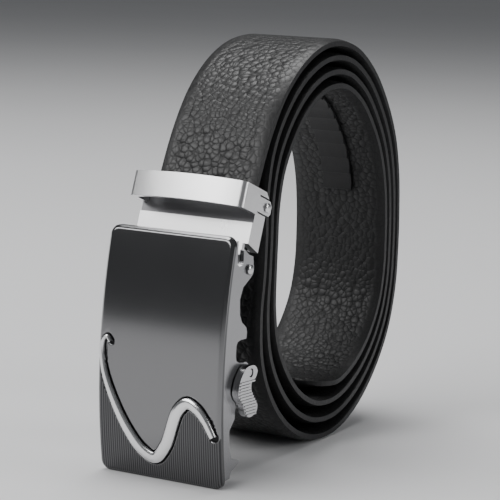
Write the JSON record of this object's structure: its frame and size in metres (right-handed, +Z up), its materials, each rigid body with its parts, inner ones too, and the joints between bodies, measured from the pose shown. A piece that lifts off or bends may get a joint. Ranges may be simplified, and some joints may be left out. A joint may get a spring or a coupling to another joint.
{
  "type": "ratchet belt",
  "caption": "Leather ratchet belt, rolled up on its rim, with a curved automatic buckle whose box swings on the strap clamp and whose side lever frees the free end.",
  "frame": {"origin": "middle of the outer box, on the surface that the belt stands on", "axes": "+Z up, -Y the way the buckle's cover faces, +X along the roll's axis to the side with the release lever"},
  "size_m": [0.0448, 0.1322, 0.1339],
  "materials": {
    "leather": "black, pebble grained, with painted edges",
    "track_plastic": "matt black",
    "polished_metal": "polished",
    "gunmetal": "satin gunmetal plating",
    "steel": "satin nickel plating"
  },
  "bodies": {
    "belt": {"strap": "leather", "ratchet_track": "track_plastic", "clamp_body": "polished_metal", "clamp_lid": "steel", "lid_rivet_left": "polished_metal", "lid_rivet_right": "polished_metal"},
    "buckle": {"cover_plate": "gunmetal", "wave_trim": "polished_metal", "buckle_box": "steel", "pivot_pin": "steel", "lever_pin": "steel"},
    "lever": {"release_lever": "steel"}
  },
  "joints": [
    {"name": "buckle_pivot", "type": "hinge", "parent": "belt", "child": "buckle", "pos_m": [0, -0.0465, 0.06581], "axis": [1, 0, 0], "range_deg": [-15, 12]},
    {"name": "release_lever", "type": "hinge", "parent": "buckle", "child": "lever", "pos_m": [0, -0.04738, 0.03411], "axis": [1, 0, 0], "range_deg": [0, 20], "stiffness_Nm_per_rad": 0.02, "springref_deg": -9.74}
  ]
}
